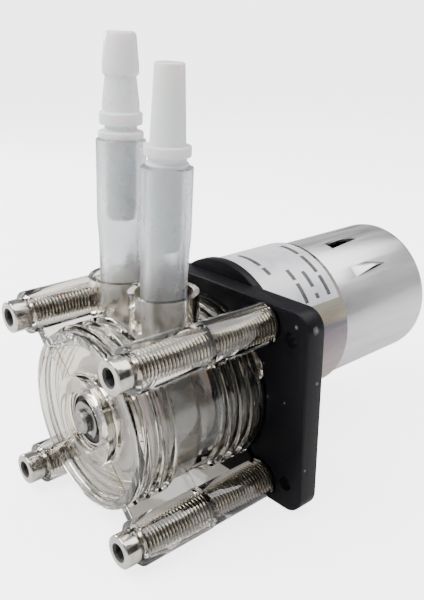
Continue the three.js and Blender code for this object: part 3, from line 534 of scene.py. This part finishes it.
# ---- Mounting plate --------------------------------------------------------------------------
# A black glass filled nylon plate carries the head in front and the gearbox behind, in a shallow
# round collar. It is moulded, with a fine satin skin and corners rubbed paler by handling.
black_nylon = finish_of("black_nylon", Base_Color=(0.0035, 0.0035, 0.005, 1), Roughness=0.42,
                        Specular_IOR_Level=0.14)
skin = pattern(black_nylon, "ShaderNodeTexNoise", 2600, 6)
vary(black_nylon, skin, "Roughness", 0.34, 0.52)
roughen(black_nylon, skin, 0.35, 0.00004)
wear(black_nylon, [((31.0, 2.4, 20.2), 1.5), ((27.7, 0, 20.6), 0.8), ((20.3, 0, 2.0), 0.55),
                   ((25.3, 0, 2.4), 0.5), ((18.8, 0, 9.4), 0.45), ((31.0, 3.4, 8.0), 0.7),
                   ((31.0, 1.0, -12.0), 0.6), ((-30.5, 2, 20), 1.2), ((30.8, 2.0, -21.5), 1.0)],
     (0.16, 0.16, 0.17))

motor_rise = 7.8
gearbox_screw_circle = 15.5
gearbox_screws = [(gearbox_screw_circle * cos(radians(angle)),
                   motor_rise + gearbox_screw_circle * sin(radians(angle)))
                  for angle in (0, 180, 225, 315)]
plate_depth = 5.1
plate = bmesh.new()
bmesh.ops.create_cube(plate, size=1)
bmesh.ops.scale(plate, vec=(62.0, plate_depth, 47.5), verts=plate.verts)
bmesh.ops.translate(plate, vec=(0, plate_depth / 2, 0), verts=plate.verts)
uprights = [e for e in plate.edges if abs(e.verts[0].co.y - e.verts[1].co.y) > 1]
bmesh.ops.bevel(plate, geom=uprights, offset=4.5, offset_type="OFFSET", affect="EDGES", segments=12,
                profile=0.5, material=-1)
soften(plate, 0.4, 3, 60)
collar = bmesh.new()
turned(collar, [(0, 4.1), (19.4, 4.1), (19.4, 6.4), (0, 6.4)], 0, motor_rise, 128)
soften(collar, 0.3)
plate = joined(plate, collar)
cup_seat = [(0, plate_depth), (18.75, plate_depth), (18.75, 9), (0, 9)]
holes = [fresh(turned, cup_seat, 0, motor_rise, 128),
         fresh(turned, [(0, -1), (6.25, -1), (6.25, 9), (0, 9)], 0, 0, 64)]
for i in (-1, 1):
    for k in (-1, 1):
        holes += [fresh(prism, 4.33, 6, (i * boss_place, 4.7, k * boss_place)),
                  fresh(rod, 2.25, -1, 9, i * boss_place, k * boss_place, 48),
                  fresh(rod, 1.7, -1, 9, i * 26.3, k * 17.2, 32)]
for x, z in gearbox_screws:
    holes.append(fresh(turned, [(0, -1), (3.05, -1), (3.05, 0), (1.7, 1.35), (1.7, 9), (0, 9)],
                       x, z, 32))
plate = cut_by(plate, *holes)
settle(plate, "plate_moulding", "pump_frame", ["mounting_plate"], black_nylon, 40)

# ---- Gearbox housing -------------------------------------------------------------------------
# The gear train sits in a drawn steel cup, zinc plated and passivated so that it shows faint
# yellow and pink. A silver film label covers its upper side.
zinc_plate = finish_of("zinc_plate", Metallic=1.0, Roughness=0.3)
zinc_tree = zinc_plate.node_tree
bloom = pattern(zinc_plate, "ShaderNodeTexNoise", 90, 3, (1, 0.35, 1))
where = zinc_tree.nodes.new("ShaderNodeTexCoord")
axes = zinc_tree.nodes.new("ShaderNodeSeparateXYZ")
height = zinc_tree.nodes.new("ShaderNodeMapRange")
tint_low_z, tint_high_z = -8, 19
height.inputs["From Min"].default_value = (stand @ Vector((0, 0, tint_low_z))).z
height.inputs["From Max"].default_value = (stand @ Vector((0, 0, tint_high_z))).z
drift = zinc_tree.nodes.new("ShaderNodeMath")
drift.operation = "MULTIPLY_ADD"
drift.inputs[1].default_value = 0.16
zinc_tree.links.new(where.outputs["Object"], axes.inputs[0])
zinc_tree.links.new(axes.outputs["Z"], height.inputs["Value"])
zinc_tree.links.new(bloom.outputs[0], drift.inputs[0])
zinc_tree.links.new(height.outputs["Result"], drift.inputs[2])
tints = vary(zinc_plate, drift, "Base Color", (0.40, 0.36, 0.32), (0.50, 0.48, 0.40), (0.1, 1.0))
for place, colour in ((0.45, (0.32, 0.265, 0.25, 1)), (0.68, (0.17, 0.14, 0.155, 1)),
                      (0.79, (0.13, 0.12, 0.135, 1)), (0.88, (0.38, 0.33, 0.235, 1))):
    tints.color_ramp.elements.new(place).color = colour
scuffs = pattern(zinc_plate, "ShaderNodeTexNoise", 500, 8, (1, 0.1, 1))
vary(zinc_plate, scuffs, "Roughness", 0.2, 0.42)
roughen(zinc_plate, scuffs, 0.2, 0.00003)

housing = bmesh.new()
turned(housing, [(0, 5.2), (18.5, 5.2), (18.5, 29.0), (17.4, 29.0), (17.4, 8.2), (0, 8.2)], 0,
       motor_rise, 128)
soften(housing, 0.25)
settle(housing, "gearbox_cup", "pump_frame", ["gearbox_housing"], zinc_plate)

silver_film = mottled("silver_film", (0.55, 0.55, 0.575), (0.64, 0.64, 0.66), 0.28, 0.4, 320, 0.1,
                      Metallic=0.25)
print_grey = mottled("print_grey", (0.012, 0.012, 0.014), (0.09, 0.09, 0.1), 0.4, 0.55, 1500)
label = bmesh.new()
bar_half = 0.6
film_front_y, film_back_y, film_inside, film_outside = 6.7, 27.6, 18.55, 18.7
bars = ((11.6, ((62, 70), (73, 96))), (17.0, ((33, 49), (52, 62))), (20.9, ((34, 38), (43, 57))),
        (24.8, ((34, 50), (53, 71), (74, 92))))
bar_edges = [edge for y, spans in bars for edge in (y - bar_half, y + bar_half)]
rows = [film_front_y, *bar_edges, film_back_y]
turned(label, [(film_inside, film_front_y), *[(film_outside, y) for y in rows],
               (film_inside, film_back_y)], 0, motor_rise, 120, radians(120), radians(-150))


def printed(centre):
    """True on the plain bars printed round the film; each spans a range of degrees."""
    angle = atan2(centre.z - motor_rise, centre.x) * 180 / pi
    return any(abs(centre.y - y) < bar_half and first < angle < last
               for y, spans in bars for first, last in spans)


settle(label, "film_label", "pump_frame", ["rating_label"], silver_film, inlay=print_grey,
       inlaid=printed)

# ---- Motor can -------------------------------------------------------------------------------
# A deep drawn steel can with a rounded rear edge closes the motor. Lanced vents in its side show
# the armature, and the can's inner wall is painted near-black as shade, so the vents look dark.
# The zinc plating is bright with faint drawing lines.
can_zinc = mottled("can_zinc", (0.52, 0.525, 0.53), (0.72, 0.72, 0.71), 0.28, 0.46, 230, 0.15,
                   (1, 0.12, 1), Metallic=1.0)
# Painted shade: a near-black finish for the inside wall of the can, seen through the vents.
can_inner_shade = mottled("can_inner_shade", (0.02, 0.02, 0.02), (0.07, 0.065, 0.06), 0.4, 0.6, 900,
                    Metallic=1.0)

can_front_y, can_back_y, shaded_inside_radius = 29.1, 63.0, 16.9
can_radius, roll_radius, roll_y = 17.8, 15.3, 60.5
roll = [(roll_radius + 2.5 * cos(radians(a)), roll_y + 2.5 * sin(radians(a)))
        for a in range(0, 91, 15)]
inner_roll = [(roll_radius + 1.5 * cos(radians(a)), roll_y + 1.5 * sin(radians(a)))
              for a in range(90, -1, -15)]
can = bmesh.new()
turned(can, [(3.6, can_front_y), (17.1, can_front_y), (17.6, 29.3), (can_radius, 29.8), *roll,
             (14.4, can_back_y), (14.4, 62.0), *inner_roll, (16.8, 30.3), (3.6, 30.3)], 0,
       motor_rise, 128)
vents, flaps = bmesh.new(), bmesh.new()
vent_front_y, vent_length, vent_half, flap_lap = 37.3, 12.6, 1.55, 0.6
outline = ((-vent_half, 0), (vent_half, 0), (0.2 * vent_half, vent_length),
           (-vent_half, vent_length / 2))
for angle, cover, lift in ((45, 1.0, 1.3), (77, 0.1, 0.4), (225, 1.0, 1.3), (257, 0.1, 0.4)):
    opening = [vents.verts.new((14, vent_front_y + y, -u)) for u, y in outline]
    lifted = bmesh.ops.extrude_face_region(vents, geom=[vents.faces.new(opening)])["geom"]
    top = [v for v in lifted if isinstance(v, bmesh.types.BMVert)]
    bmesh.ops.translate(vents, vec=(6, 0, 0), verts=top)
    bmesh.ops.rotate(vents, cent=(0, 0, 0), matrix=Matrix.Rotation(-radians(angle), 3, "Y"),
                     verts=[*opening, *top])
    bmesh.ops.translate(vents, vec=(0, 0, motor_rise), verts=[*opening, *top])
    flap = bmesh.new()
    bmesh.ops.create_grid(flap, x_segments=8, y_segments=24, size=0.5)
    for v in flap.verts:
        across, along = v.co.x + 0.5, v.co.y + 0.5
        y = along * (vent_length + flap_lap) - flap_lap
        left = -vent_half if y < vent_length / 2 else (
            -vent_half + 1.2 * vent_half * (2 * y / vent_length - 1))
        right = vent_half - 0.8 * vent_half * along
        u = left - 0.2 + (right - left + 0.3) * across * (cover - 0.32 * cover * along)
        out = 17.7 + lift * sin(pi / 2 * across) * sin(pi * along ** 1.3)
        bearing = radians(angle) - u / can_radius
        v.co = (out * cos(bearing), vent_front_y + y, motor_rise + out * sin(bearing))
    bmesh.ops.recalc_face_normals(flap, faces=flap.faces)
    bmesh.ops.solidify(flap, geom=list(flap.faces), thickness=0.45)
    add_to(flaps, flap)
can = cut_by(can, vents)
add_to(can, flaps)
# The can's inner wall between front and rear takes the painted shade.
settle(can, "motor_shell", "pump_frame", ["motor_can"], can_zinc, 30,
       inlay=can_inner_shade, inlaid=lambda c: (
           c.x ** 2 + (c.z - motor_rise) ** 2 < shaded_inside_radius ** 2 and 32 < c.y < 58))

# ---- Pump tube -------------------------------------------------------------------------------
# One length of milky silicone tube comes down one socket, round the track under the rollers and
# up the other. It is extruded, is held only by the track, and is pinched shut at each roller.
silicone = finish_of("milky_silicone", Base_Color=(0.90, 0.915, 0.93, 1), Roughness=0.3, IOR=1.33,
                     Transmission_Weight=0.93, Subsurface_Weight=0.3, Subsurface_Scale=0.002)
haze = pattern(silicone, "ShaderNodeTexNoise", 160, 3)
vary(silicone, haze, "Roughness", 0.2, 0.36)
roughen(silicone, haze, 0.08)

tube_radius, tube_wall, tube_orbit = 4.8, 1.6, 12.05
pinched, relaxed, pinched_width, leaves_track = 2.8, 8.4, 13.3, 0.9
right_top = Vector((8.55, parting_y + 0.6, 52.3))
left_top = Vector((-6.5, parting_y + 0.6, 55.8))
right_lean = Vector((0.05, 0.02, 1))
left_lean = Vector((0.025, 0.027, 1))
route = [right_top, right_top - right_lean * 8, right_top - right_lean * 17]
route += [Vector((x, parting_y, z)) for x, z in ((7.3, 28), (7.2, 21), (7.3, 15.5), (7.7, 11.8))]
arc_from, arc_to = radians(47), radians(-227)
arc = [arc_from + (arc_to - arc_from) * n / 28 for n in range(29)]
route += [Vector((tube_orbit * cos(a), parting_y, tube_orbit * sin(a))) for a in arc]
route += [Vector((x, parting_y, z))
          for x, z in ((-7.7, 11.8), (-7.3, 15.5), (-7.2, 21), (-7.2, 28))]
route += [left_top - left_lean * 17, left_top - left_lean * 8, left_top]

line = bpy.data.curves.new("route", "CURVE")
line.dimensions = "3D"
spline = line.splines.new("BEZIER")
spline.bezier_points.add(len(route) - 1)
for point, place in zip(spline.bezier_points, route):
    point.co = place
    point.handle_left_type = point.handle_right_type = "AUTO"
line_object = bpy.data.objects.new("route", line)
bpy.context.scene.collection.objects.link(line_object)
bpy.context.view_layer.update()
centres = []
for a, b in zip(spline.bezier_points, spline.bezier_points[1:]):
    count = max(3, int((b.co - a.co).length / 0.7))
    centres += interpolate_bezier(a.co, a.handle_right, b.handle_left, b.co, count)[:-1]
centres.append(left_top.copy())
bpy.data.objects.remove(line_object)


def smoothstep(value, start, end):
    """Rises from 0 to 1 between two values, level at both ends."""
    t = min(1, max(0, (value - start) / (end - start)))
    return t * t * (3 - 2 * t)


def tube_point(n, angle, wall):
    """A point of the tube's outer or inner skin, flattened where a roller presses on it."""
    centre = centres[n]
    tangent = (centres[min(n + 1, len(centres) - 1)] - centres[max(n - 1, 0)]).normalized()
    outward = tangent.cross(Vector((0, 1, 0))).normalized()
    across = outward.cross(tangent)
    bearing = atan2(centre.z, centre.x)
    nearest = abs(bearing - pi / 2 * round(bearing / (pi / 2)))
    ease = ((1 - cos(4 * nearest)) / 2) ** 1.35
    above_rollers = leaves_track < bearing < pi - leaves_track
    thickness = relaxed if above_rollers else pinched + (relaxed - pinched) * ease
    thickness += (2 * tube_radius - thickness) * smoothstep(centre.z, 11, 19)
    flat = (2 * tube_radius - thickness) / (2 * tube_radius - pinched)
    wide = tube_radius + (pinched_width / 2 - tube_radius) * flat
    swell = 0.3 * smoothstep(centre.z, 34, 40)
    high = max(thickness / 2 - wall, 0.04) + swell
    shift = outward * (tube_radius - thickness / 2 + high * cos(angle))
    return centre + shift + across * ((wide - wall + swell) * sin(angle))


around = 40
tube = bmesh.new()
for wall in (0, tube_wall):
    before = set(tube.verts)
    bmesh.ops.create_grid(tube, x_segments=len(centres) - 1, y_segments=around, size=0.5)
    sheet = [v for v in tube.verts if v not in before]
    for v in sheet:
        n = round((v.co.x + 0.5) * (len(centres) - 1))
        v.co = tube_point(n, (v.co.y + 0.5) * 2 * pi, wall)
    bmesh.ops.remove_doubles(tube, verts=sheet, dist=1e-4)
for place in (right_top, left_top):
    rims = [e for e in tube.edges if e.is_boundary and (e.verts[0].co - place).length < 8]
    bmesh.ops.bridge_loops(tube, edges=rims)
settle(tube, "silicone_tube", "pump_frame", ["pump_tube"], silicone, 50)

# ---- Hose fittings ---------------------------------------------------------------------------
# A ribbed barb and a plain tapered spigot join the pump tube to the hoses. Both are moulded in
# natural nylon and are pushed into the ends of the tube, which stretches over them.
natural_nylon = finish_of("natural_nylon", Base_Color=(0.90, 0.91, 0.92, 1), Roughness=0.3,
                          IOR=1.45, Transmission_Weight=0.3, Subsurface_Weight=0.7,
                          Subsurface_Scale=0.003)
flow = pattern(natural_nylon, "ShaderNodeTexNoise", 120, 2)
vary(natural_nylon, flow, "Roughness", 0.25, 0.4)
roughen(natural_nylon, flow, 0.05)

insert = [(1.9, -16.3), (2.8, -16.3), (3.15, -14.1), (3.15, 0.3)]
barb = [*insert, (4.6, 0.3), (4.6, 1.7), (3.3, 2.0), (3.3, 3.0), (4.35, 3.0), (4.35, 5.4),
        (3.75, 5.4), (3.75, 6.9), (3.1, 12.4), (3.65, 12.6), (3.65, 14.4), (3.3, 18.0),
        (3.15, 19.9), (2.7, 20.6), (1.9, 20.6)]
spigot = [*insert, (4.2, 0.3), (4.2, 0.9), (3.75, 0.9), (3.75, 2.1), (4.57, 2.1), (4.57, 4.1),
          (3.5, 4.1), (2.85, 18.7), (2.6, 19.0), (1.9, 19.0)]
for name, outline, top, lean, node in (
    ("ribbed_barb", barb, left_top, left_lean, "hose_barb"),
    ("taper_spigot", spigot, right_top, right_lean, "hose_spigot"),
):
    fitting = bmesh.new()
    turned(fitting, outline, steps=64)
    soften(fitting, 0.38, 4, 50)
    upward = Vector((0, 1, 0)).rotation_difference(lean.normalized()).to_matrix().to_4x4()
    bmesh.ops.transform(fitting, matrix=Matrix.Translation(top) @ upward, verts=fitting.verts)
    settle(fitting, name, "pump_frame", [node], natural_nylon)

# ---- Shaft, front bearing and clip -----------------------------------------------------------
# A ground steel shaft runs in a shielded ball bearing in the cover's boss, and a spring clip holds
# it there. The rings are polished, and the shield is black rubber.
dark_steel = mottled("ground_steel", (0.16, 0.155, 0.15), (0.30, 0.29, 0.28), 0.22, 0.4, 700,
                     Metallic=1.0)
rubber_shield = mottled("rubber_shield", (0.008, 0.008, 0.009), (0.022, 0.022, 0.023), 0.5, 0.7,
                        1500)
journal = bmesh.new()
turned(journal, [(0, -34.7), (0.5, -35.0), (2.1, -35.0), (2.5, -34.6), (2.5, -27.15), (3.0, -27.15),
                 (3.0, 14.9), (2.7, 15.2), (0, 15.2)], steps=48)
settle(journal, "pump_shaft", "rotor", ["output_shaft"], dark_steel)
for name, node, body, outline, material in (
    ("inner_race", "bearing_inner_ring", "rotor",
     [(2.58, -32.85), (3.6, -32.85), (3.6, -29.05), (2.58, -29.05)], nickel_steel),
    ("outer_race", "bearing_outer_ring", "pump_frame",
     [(5.3, -32.85), (6.5, -32.85), (6.5, -29.05), (5.3, -29.05)], nickel_steel),
    ("bearing_shield", "bearing_seal", "pump_frame",
     [(3.75, -32.5), (4.2, -32.65), (4.8, -32.65), (5.15, -32.4), (5.15, -32.15), (3.75, -32.15)],
     rubber_shield),
):
    race = bmesh.new()
    turned(race, outline, steps=64)
    soften(race, 0.12)
    settle(race, name, body, [node], material)
clip = bmesh.new()
turned(clip, [(2.58, -33.55), (4.1, -33.55), (4.1, -32.95), (2.58, -32.95)], 0, 0, 48,
       radians(279.8), radians(-229.9))
soften(clip, 0.12)
settle(clip, "spring_clip", "rotor", ["retaining_clip"], dark_steel)

# ---- Rotor, rollers and pins -----------------------------------------------------------------
# Two acetal discs on a black hub carry four pins, on which acetal rollers turn. A set screw in the
# hub clamps it to the shaft.
acetal = mottled("acetal", (0.60, 0.575, 0.60), (0.72, 0.69, 0.71), 0.28, 0.4, 260, 0.08,
                 Subsurface_Weight=0.25, Subsurface_Scale=0.002)
orbit, roller_half, axle_half = 9.5, 6.6, 9.3
pin_sides = ((1, 0), (0, 1), (-1, 0), (0, -1))
for name, node, y0, y1 in (("front_disc", "rotor_front_plate", -26.55, -24.55),
                           ("rear_disc", "rotor_rear_plate", -10.75, -8.75)):
    disc, drilled = bmesh.new(), bmesh.new()
    turned(disc, [(3.08, y0), (13.2, y0), (13.2, y1), (3.08, y1)], steps=96)
    soften(disc, 0.2)
    for i, k in pin_sides:
        rod(drilled, 1.56, y0 - 1, y1 + 1, i * orbit, k * orbit, 32)
    settle(cut_by(disc, drilled), name, "rotor", [node], acetal)
hub_half = 6.85
hub = bmesh.new()
turned(hub, [(3.08, parting_y - hub_half), (4.6, parting_y - hub_half), (4.6, parting_y + hub_half),
             (3.08, parting_y + hub_half)], steps=64)
soften(hub, 0.25)
cross_hole = fresh(prism, 1.5, 5, (5, parting_y, 0), "Y", 32)
between_pins = Matrix.Rotation(-pi / 4, 3, "Y")
bmesh.ops.rotate(cross_hole, cent=(0, 0, 0), matrix=between_pins, verts=cross_hole.verts)
settle(cut_by(hub, cross_hole), "roller_hub", "rotor", ["rotor_hub"], black_nylon)
grub = bmesh.new()
bmesh.ops.create_cone(grub, cap_ends=True, segments=32, radius1=1.28, radius2=1.28, depth=1.25)
soften(grub, 0.15)
recess = bmesh.new()
bmesh.ops.create_cone(recess, cap_ends=True, segments=6, radius1=0.75, radius2=0.75, depth=1)
bmesh.ops.translate(recess, vec=(0, 0, 0.6), verts=recess.verts)
grub = cut_by(grub, recess)
bmesh.ops.rotate(grub, cent=(0, 0, 0), matrix=Matrix.Rotation(pi / 2, 3, "Y"), verts=grub.verts)
bmesh.ops.translate(grub, vec=(3.855, parting_y, 0), verts=grub.verts)
bmesh.ops.rotate(grub, cent=(0, 0, 0), matrix=between_pins, verts=grub.verts)
settle(grub, "hub_set_screw", "rotor", ["rotor_set_screw"], dark_steel)
for n, (i, k) in enumerate(pin_sides, 1):
    x, z = i * orbit, k * orbit
    roller = bmesh.new()
    y0, y1 = parting_y - roller_half, parting_y + roller_half
    turned(roller, [(1.58, y0), (2.4, y0), (2.7, y0 + 0.3), (3.3, y0 + 0.3), (3.6, y0), (3.95, y0),
                    (4.3, y0 + 0.35), (4.3, y1 - 0.35), (3.95, y1), (3.6, y1), (3.3, y1 - 0.3),
                    (2.7, y1 - 0.3), (2.4, y1), (1.58, y1)], x, z, 64)
    settle(roller, f"press_roller_{n}", f"roller_body_{n}", [f"roller_{n}"],
           acetal)
    axle = bmesh.new()
    y0, y1 = parting_y - axle_half, parting_y + axle_half
    turned(axle, [(0, y0 + 0.15), (0.4, y0), (1.2, y0), (1.5, y0 + 0.3), (1.5, y1 - 0.3), (1.2, y1),
                  (0.4, y1), (0, y1 - 0.15)], x, z, 32)
    settle(axle, f"roller_axle_{n}", "rotor", [f"roller_pin_{n}"], nickel_steel)

# ---- Gearbox fixing screws -------------------------------------------------------------------
# Four countersunk cross head screws hold the gearbox to the plate from the front. They are nickel
# plated and show a little through the clear housing.
for n, (x, z) in enumerate(gearbox_screws, 1):
    screw = fresh(turned, [(0, 0.15), (2.6, 0.15), (2.7, 0.25), (1.45, 1.5), (1.45, 7.7), (0, 7.7)],
                  x, z, 48)
    slots = [fresh(block, (x - wide, x + wide), (-1, 0.9), (z - high, z + high))
             for wide, high in ((1.2, 0.3), (0.3, 1.2))]
    settle(cut_by(screw, *slots), f"countersunk_screw_{n}", "pump_frame",
           [f"gearbox_screw_{n}"], nickel_steel)

# ---- Motor end cap and terminals -------------------------------------------------------------
# The back of the can is closed by a moulded black cap with a raised bearing boss. Two tinned tags
# stand out of it for the supply wires, and the shaft ends inside a sintered bronze bush.
bronze = mottled("sintered_bronze", (0.30, 0.19, 0.08), (0.52, 0.34, 0.15), 0.35, 0.55, 1300, 0.3,
                 Metallic=1.0)
tag_place = 9.0
cap, slits = bmesh.new(), bmesh.new()
turned(cap, [(3.58, 58.6), (16.6, 58.6), (16.6, 60.4), (15.3, 61.7), (13.4, 61.7), (13.1, 61.4),
             (12.5, 61.4), (12.2, 61.7), (5.9, 61.7), (5.4, 62.1), (5.4, 63.2), (3.58, 63.2)], 0,
       motor_rise, 96)
soften(cap, 0.12, 2, 50)
for i in (-1, 1):
    x = i * tag_place
    block(slits, (x - 0.45, x + 0.45), (58, 64), (motor_rise - 1.65, motor_rise + 1.65))
settle(cut_by(cap, slits), "rear_cap", "pump_frame", ["motor_end_cap"],
       black_nylon)
for side, i in (("left", -1), ("right", 1)):
    x = i * tag_place
    tag = fresh(block, (x - 0.25, x + 0.25), (58.2, 66.4), (motor_rise - 1.4, motor_rise + 1.4))
    tips = [e for e in tag.edges if all(v.co.y > 66 for v in e.verts)
            and abs(e.verts[0].co.x - e.verts[1].co.x) > 0.1]
    bmesh.ops.bevel(tag, geom=tips, offset=0.7, offset_type="OFFSET", affect="EDGES", segments=4,
                    profile=0.5, material=-1)
    eye = fresh(prism, 0.6, 2, (x, 64.8, motor_rise), "Y", 32)
    settle(cut_by(tag, eye), f"solder_tag_{side}", "pump_frame", [f"terminal_{side}"],
           nickel_steel)
bush = bmesh.new()
turned(bush, [(1.63, 58.8), (3.5, 58.8), (3.5, 63.0), (2.2, 63.0), (1.63, 62.6)], 0, motor_rise, 64)
soften(bush, 0.1, 2, 50)
settle(bush, "rear_bearing_bush", "pump_frame", ["motor_rear_bush"], bronze)

# ---- Working parts kept as they are ----------------------------------------------------------
# The gears, armature, magnets, brushes and inner bushes are small pressed, sintered or wound parts
# shut inside steel, whose shape is already right. Each gets the finish of its own trade.
sintered = mottled("sintered_steel", (0.22, 0.22, 0.225), (0.40, 0.40, 0.41), 0.3, 0.5, 1100, 0.3,
                   Metallic=1.0)
copper = mottled("enamelled_copper", (0.36, 0.13, 0.05), (0.62, 0.28, 0.13), 0.25, 0.45, 500, 0.4,
                 (1, 6, 1), Metallic=1.0)
ferrite = mottled("pressed_ferrite", (0.018, 0.018, 0.02), (0.05, 0.05, 0.052), 0.55, 0.8, 1600,
                  0.4)
carbon = mottled("brush_carbon", (0.012, 0.012, 0.012), (0.04, 0.04, 0.04), 0.5, 0.7, 2000, 0.3)
slot_of = {row["node"]: row["material_slot"] for row in frame["record"]["subparts"]}
finishes = {"clear_polycarbonate": clear_polycarbonate, "nickel_steel": nickel_steel,
            "black_plastic": black_nylon, "silicone_tube": silicone, "white_nylon": natural_nylon,
            "zinc_plated_steel": zinc_plate, "label": silver_film, "dark_steel": dark_steel,
            "gear_steel": sintered, "bronze": bronze, "copper": copper, "ferrite": ferrite,
            "carbon": carbon, "roller_plastic": acetal}
for node, piece in frame["nodes"].items():
    piece.data.materials.clear()
    piece.data.materials.append(finishes[slot_of[node]])
